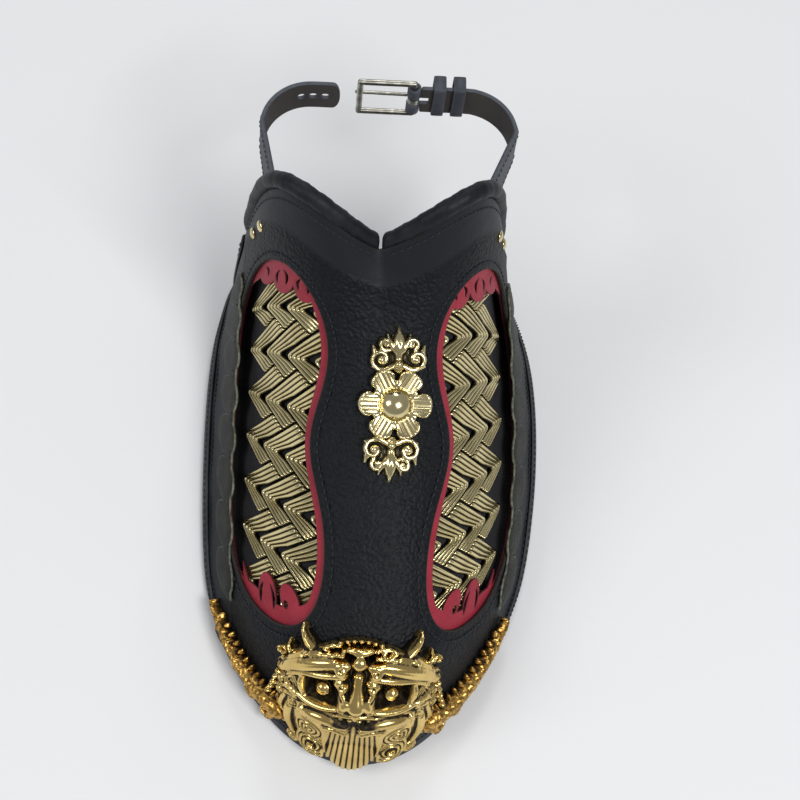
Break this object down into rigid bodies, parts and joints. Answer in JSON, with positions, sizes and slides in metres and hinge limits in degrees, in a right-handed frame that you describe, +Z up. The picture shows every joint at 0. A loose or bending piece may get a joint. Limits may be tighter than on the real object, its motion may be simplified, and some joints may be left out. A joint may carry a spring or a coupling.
{
  "type": "sabaton",
  "caption": "Foot armour of black leather over a boot's front, with gilt mountain-pattern scales in red-edged windows, a cast beast mask and a buckled heel strap.",
  "frame": {"origin": "middle of the part's overall length and width, at the height of the surface that the lower edge rests on", "axes": "+Z up, -Y towards the toe, +Y towards the heel strap, +X to the wearer's left"},
  "size_m": [0.1451, 0.2632, 0.1501],
  "materials": {
    "black_leather": "black pebbled leather, soft sheen",
    "binding_leather": "smooth black leather binding",
    "collar_leather": "black leather over a soft roll",
    "lining_cloth": "black woven lining",
    "red_leather": "red leather",
    "edging_leather": "dark olive leather with pale cut edges",
    "gilt_scale": "pale gilt, pressed",
    "gilt_casting": "bright gilt casting with darkened hollows",
    "gilt_wing": "satin orange gilt",
    "strap_leather": "smooth dark grey leather",
    "buckle_steel": "dull steel"
  },
  "bodies": {
    "cover": {"upper_shell": "black_leather", "lower_binding": "binding_leather", "collar_left": "collar_leather", "collar_right": "collar_leather", "lining_left": "lining_cloth", "lining_right": "lining_cloth", "window_frame_left": "red_leather", "window_frame_right": "red_leather", "scallop_edging_left": "edging_leather", "scallop_edging_right": "edging_leather", "scale_row_left_1": "gilt_scale", "scale_row_left_2": "gilt_scale", "scale_row_left_3": "gilt_scale", "scale_row_left_4": "gilt_scale", "scale_row_left_5": "gilt_scale", "scale_row_left_6": "gilt_scale", "scale_row_left_7": "gilt_scale", "scale_row_left_8": "gilt_scale", "scale_row_right_1": "gilt_scale", "scale_row_right_2": "gilt_scale", "scale_row_right_3": "gilt_scale", "scale_row_right_4": "gilt_scale", "scale_row_right_5": "gilt_scale", "scale_row_right_6": "gilt_scale", "scale_row_right_7": "gilt_scale", "scale_row_right_8": "gilt_scale", "flower_petals": "gilt_casting", "flower_boss": "gilt_casting", "spray_upper": "gilt_casting", "spray_lower": "gilt_casting", "beast_mask": "gilt_casting", "mask_wing_left": "gilt_wing", "mask_wing_right": "gilt_wing", "strap_rivets_left": "gilt_casting", "strap_rivets_right": "gilt_casting", "strap_left": "strap_leather", "strap_right": "strap_leather", "fixed_keeper": "strap_leather"},
    "buckle": {"buckle_frame": "buckle_steel"},
    "prong": {"buckle_prong": "buckle_steel"},
    "keeper": {"sliding_keeper": "strap_leather"}
  },
  "joints": [
    {"name": "buckle_hinge", "type": "hinge", "parent": "cover", "child": "buckle", "pos_m": [0.01, 0.1257, 0.096], "axis": [0, 0, 1], "range_deg": [-90, 8]},
    {"name": "prong_hinge", "type": "hinge", "parent": "buckle", "child": "prong", "pos_m": [0.01, 0.1257, 0.096], "axis": [0, 0, 1], "range_deg": [-35, 0]},
    {"name": "keeper_slide", "type": "slide", "parent": "cover", "child": "keeper", "axis": [1, 0, 0], "range_m": [-0.0027, 0.002]}
  ]
}
